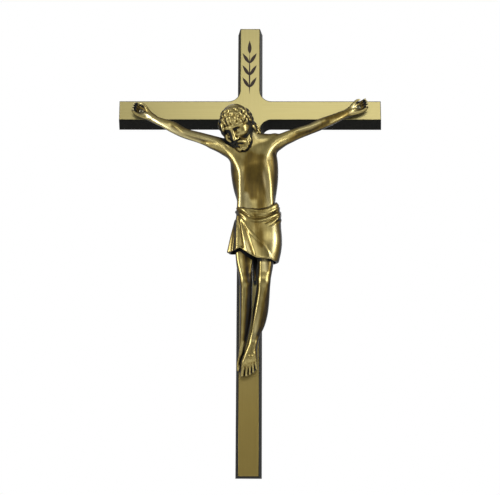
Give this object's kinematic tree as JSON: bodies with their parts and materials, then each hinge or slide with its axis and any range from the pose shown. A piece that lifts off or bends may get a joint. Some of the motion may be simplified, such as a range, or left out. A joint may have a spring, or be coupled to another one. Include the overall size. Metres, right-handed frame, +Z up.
{
  "type": "wall crucifix",
  "caption": "Wall crucifix: a hollow cast Latin cross with drafted sides, a cast figure nailed to it and a keyhole hanger let into its back.",
  "frame": {"origin": "centre of the keyhole's round opening, in the plane of the wall at the back", "axes": "+Z up along the upright, +Y from the front towards the wall, +X to the right as seen from the front"},
  "size_m": [0.208, 0.0602, 0.35],
  "materials": {
    "cross_brass": "satin brushed front, dark patina on the sides",
    "figure_brass": "antique, polished on the high places and dark in the hollows",
    "nail_brass": "antique, polished",
    "hanger_steel": "zinc plated",
    "fastener_steel": "zinc plated"
  },
  "bodies": {
    "root": {"cross_shell": "cross_brass", "corpus": "figure_brass", "left_hand_nail": "nail_brass", "right_hand_nail": "nail_brass", "feet_nail": "nail_brass", "left_hand_washer": "fastener_steel", "right_hand_washer": "fastener_steel", "feet_washer": "fastener_steel", "left_hand_nut": "fastener_steel", "right_hand_nut": "fastener_steel", "feet_nut": "fastener_steel", "hanger_plate": "hanger_steel", "upper_hanger_screw": "fastener_steel", "lower_hanger_screw": "fastener_steel"}
  },
  "joints": []
}
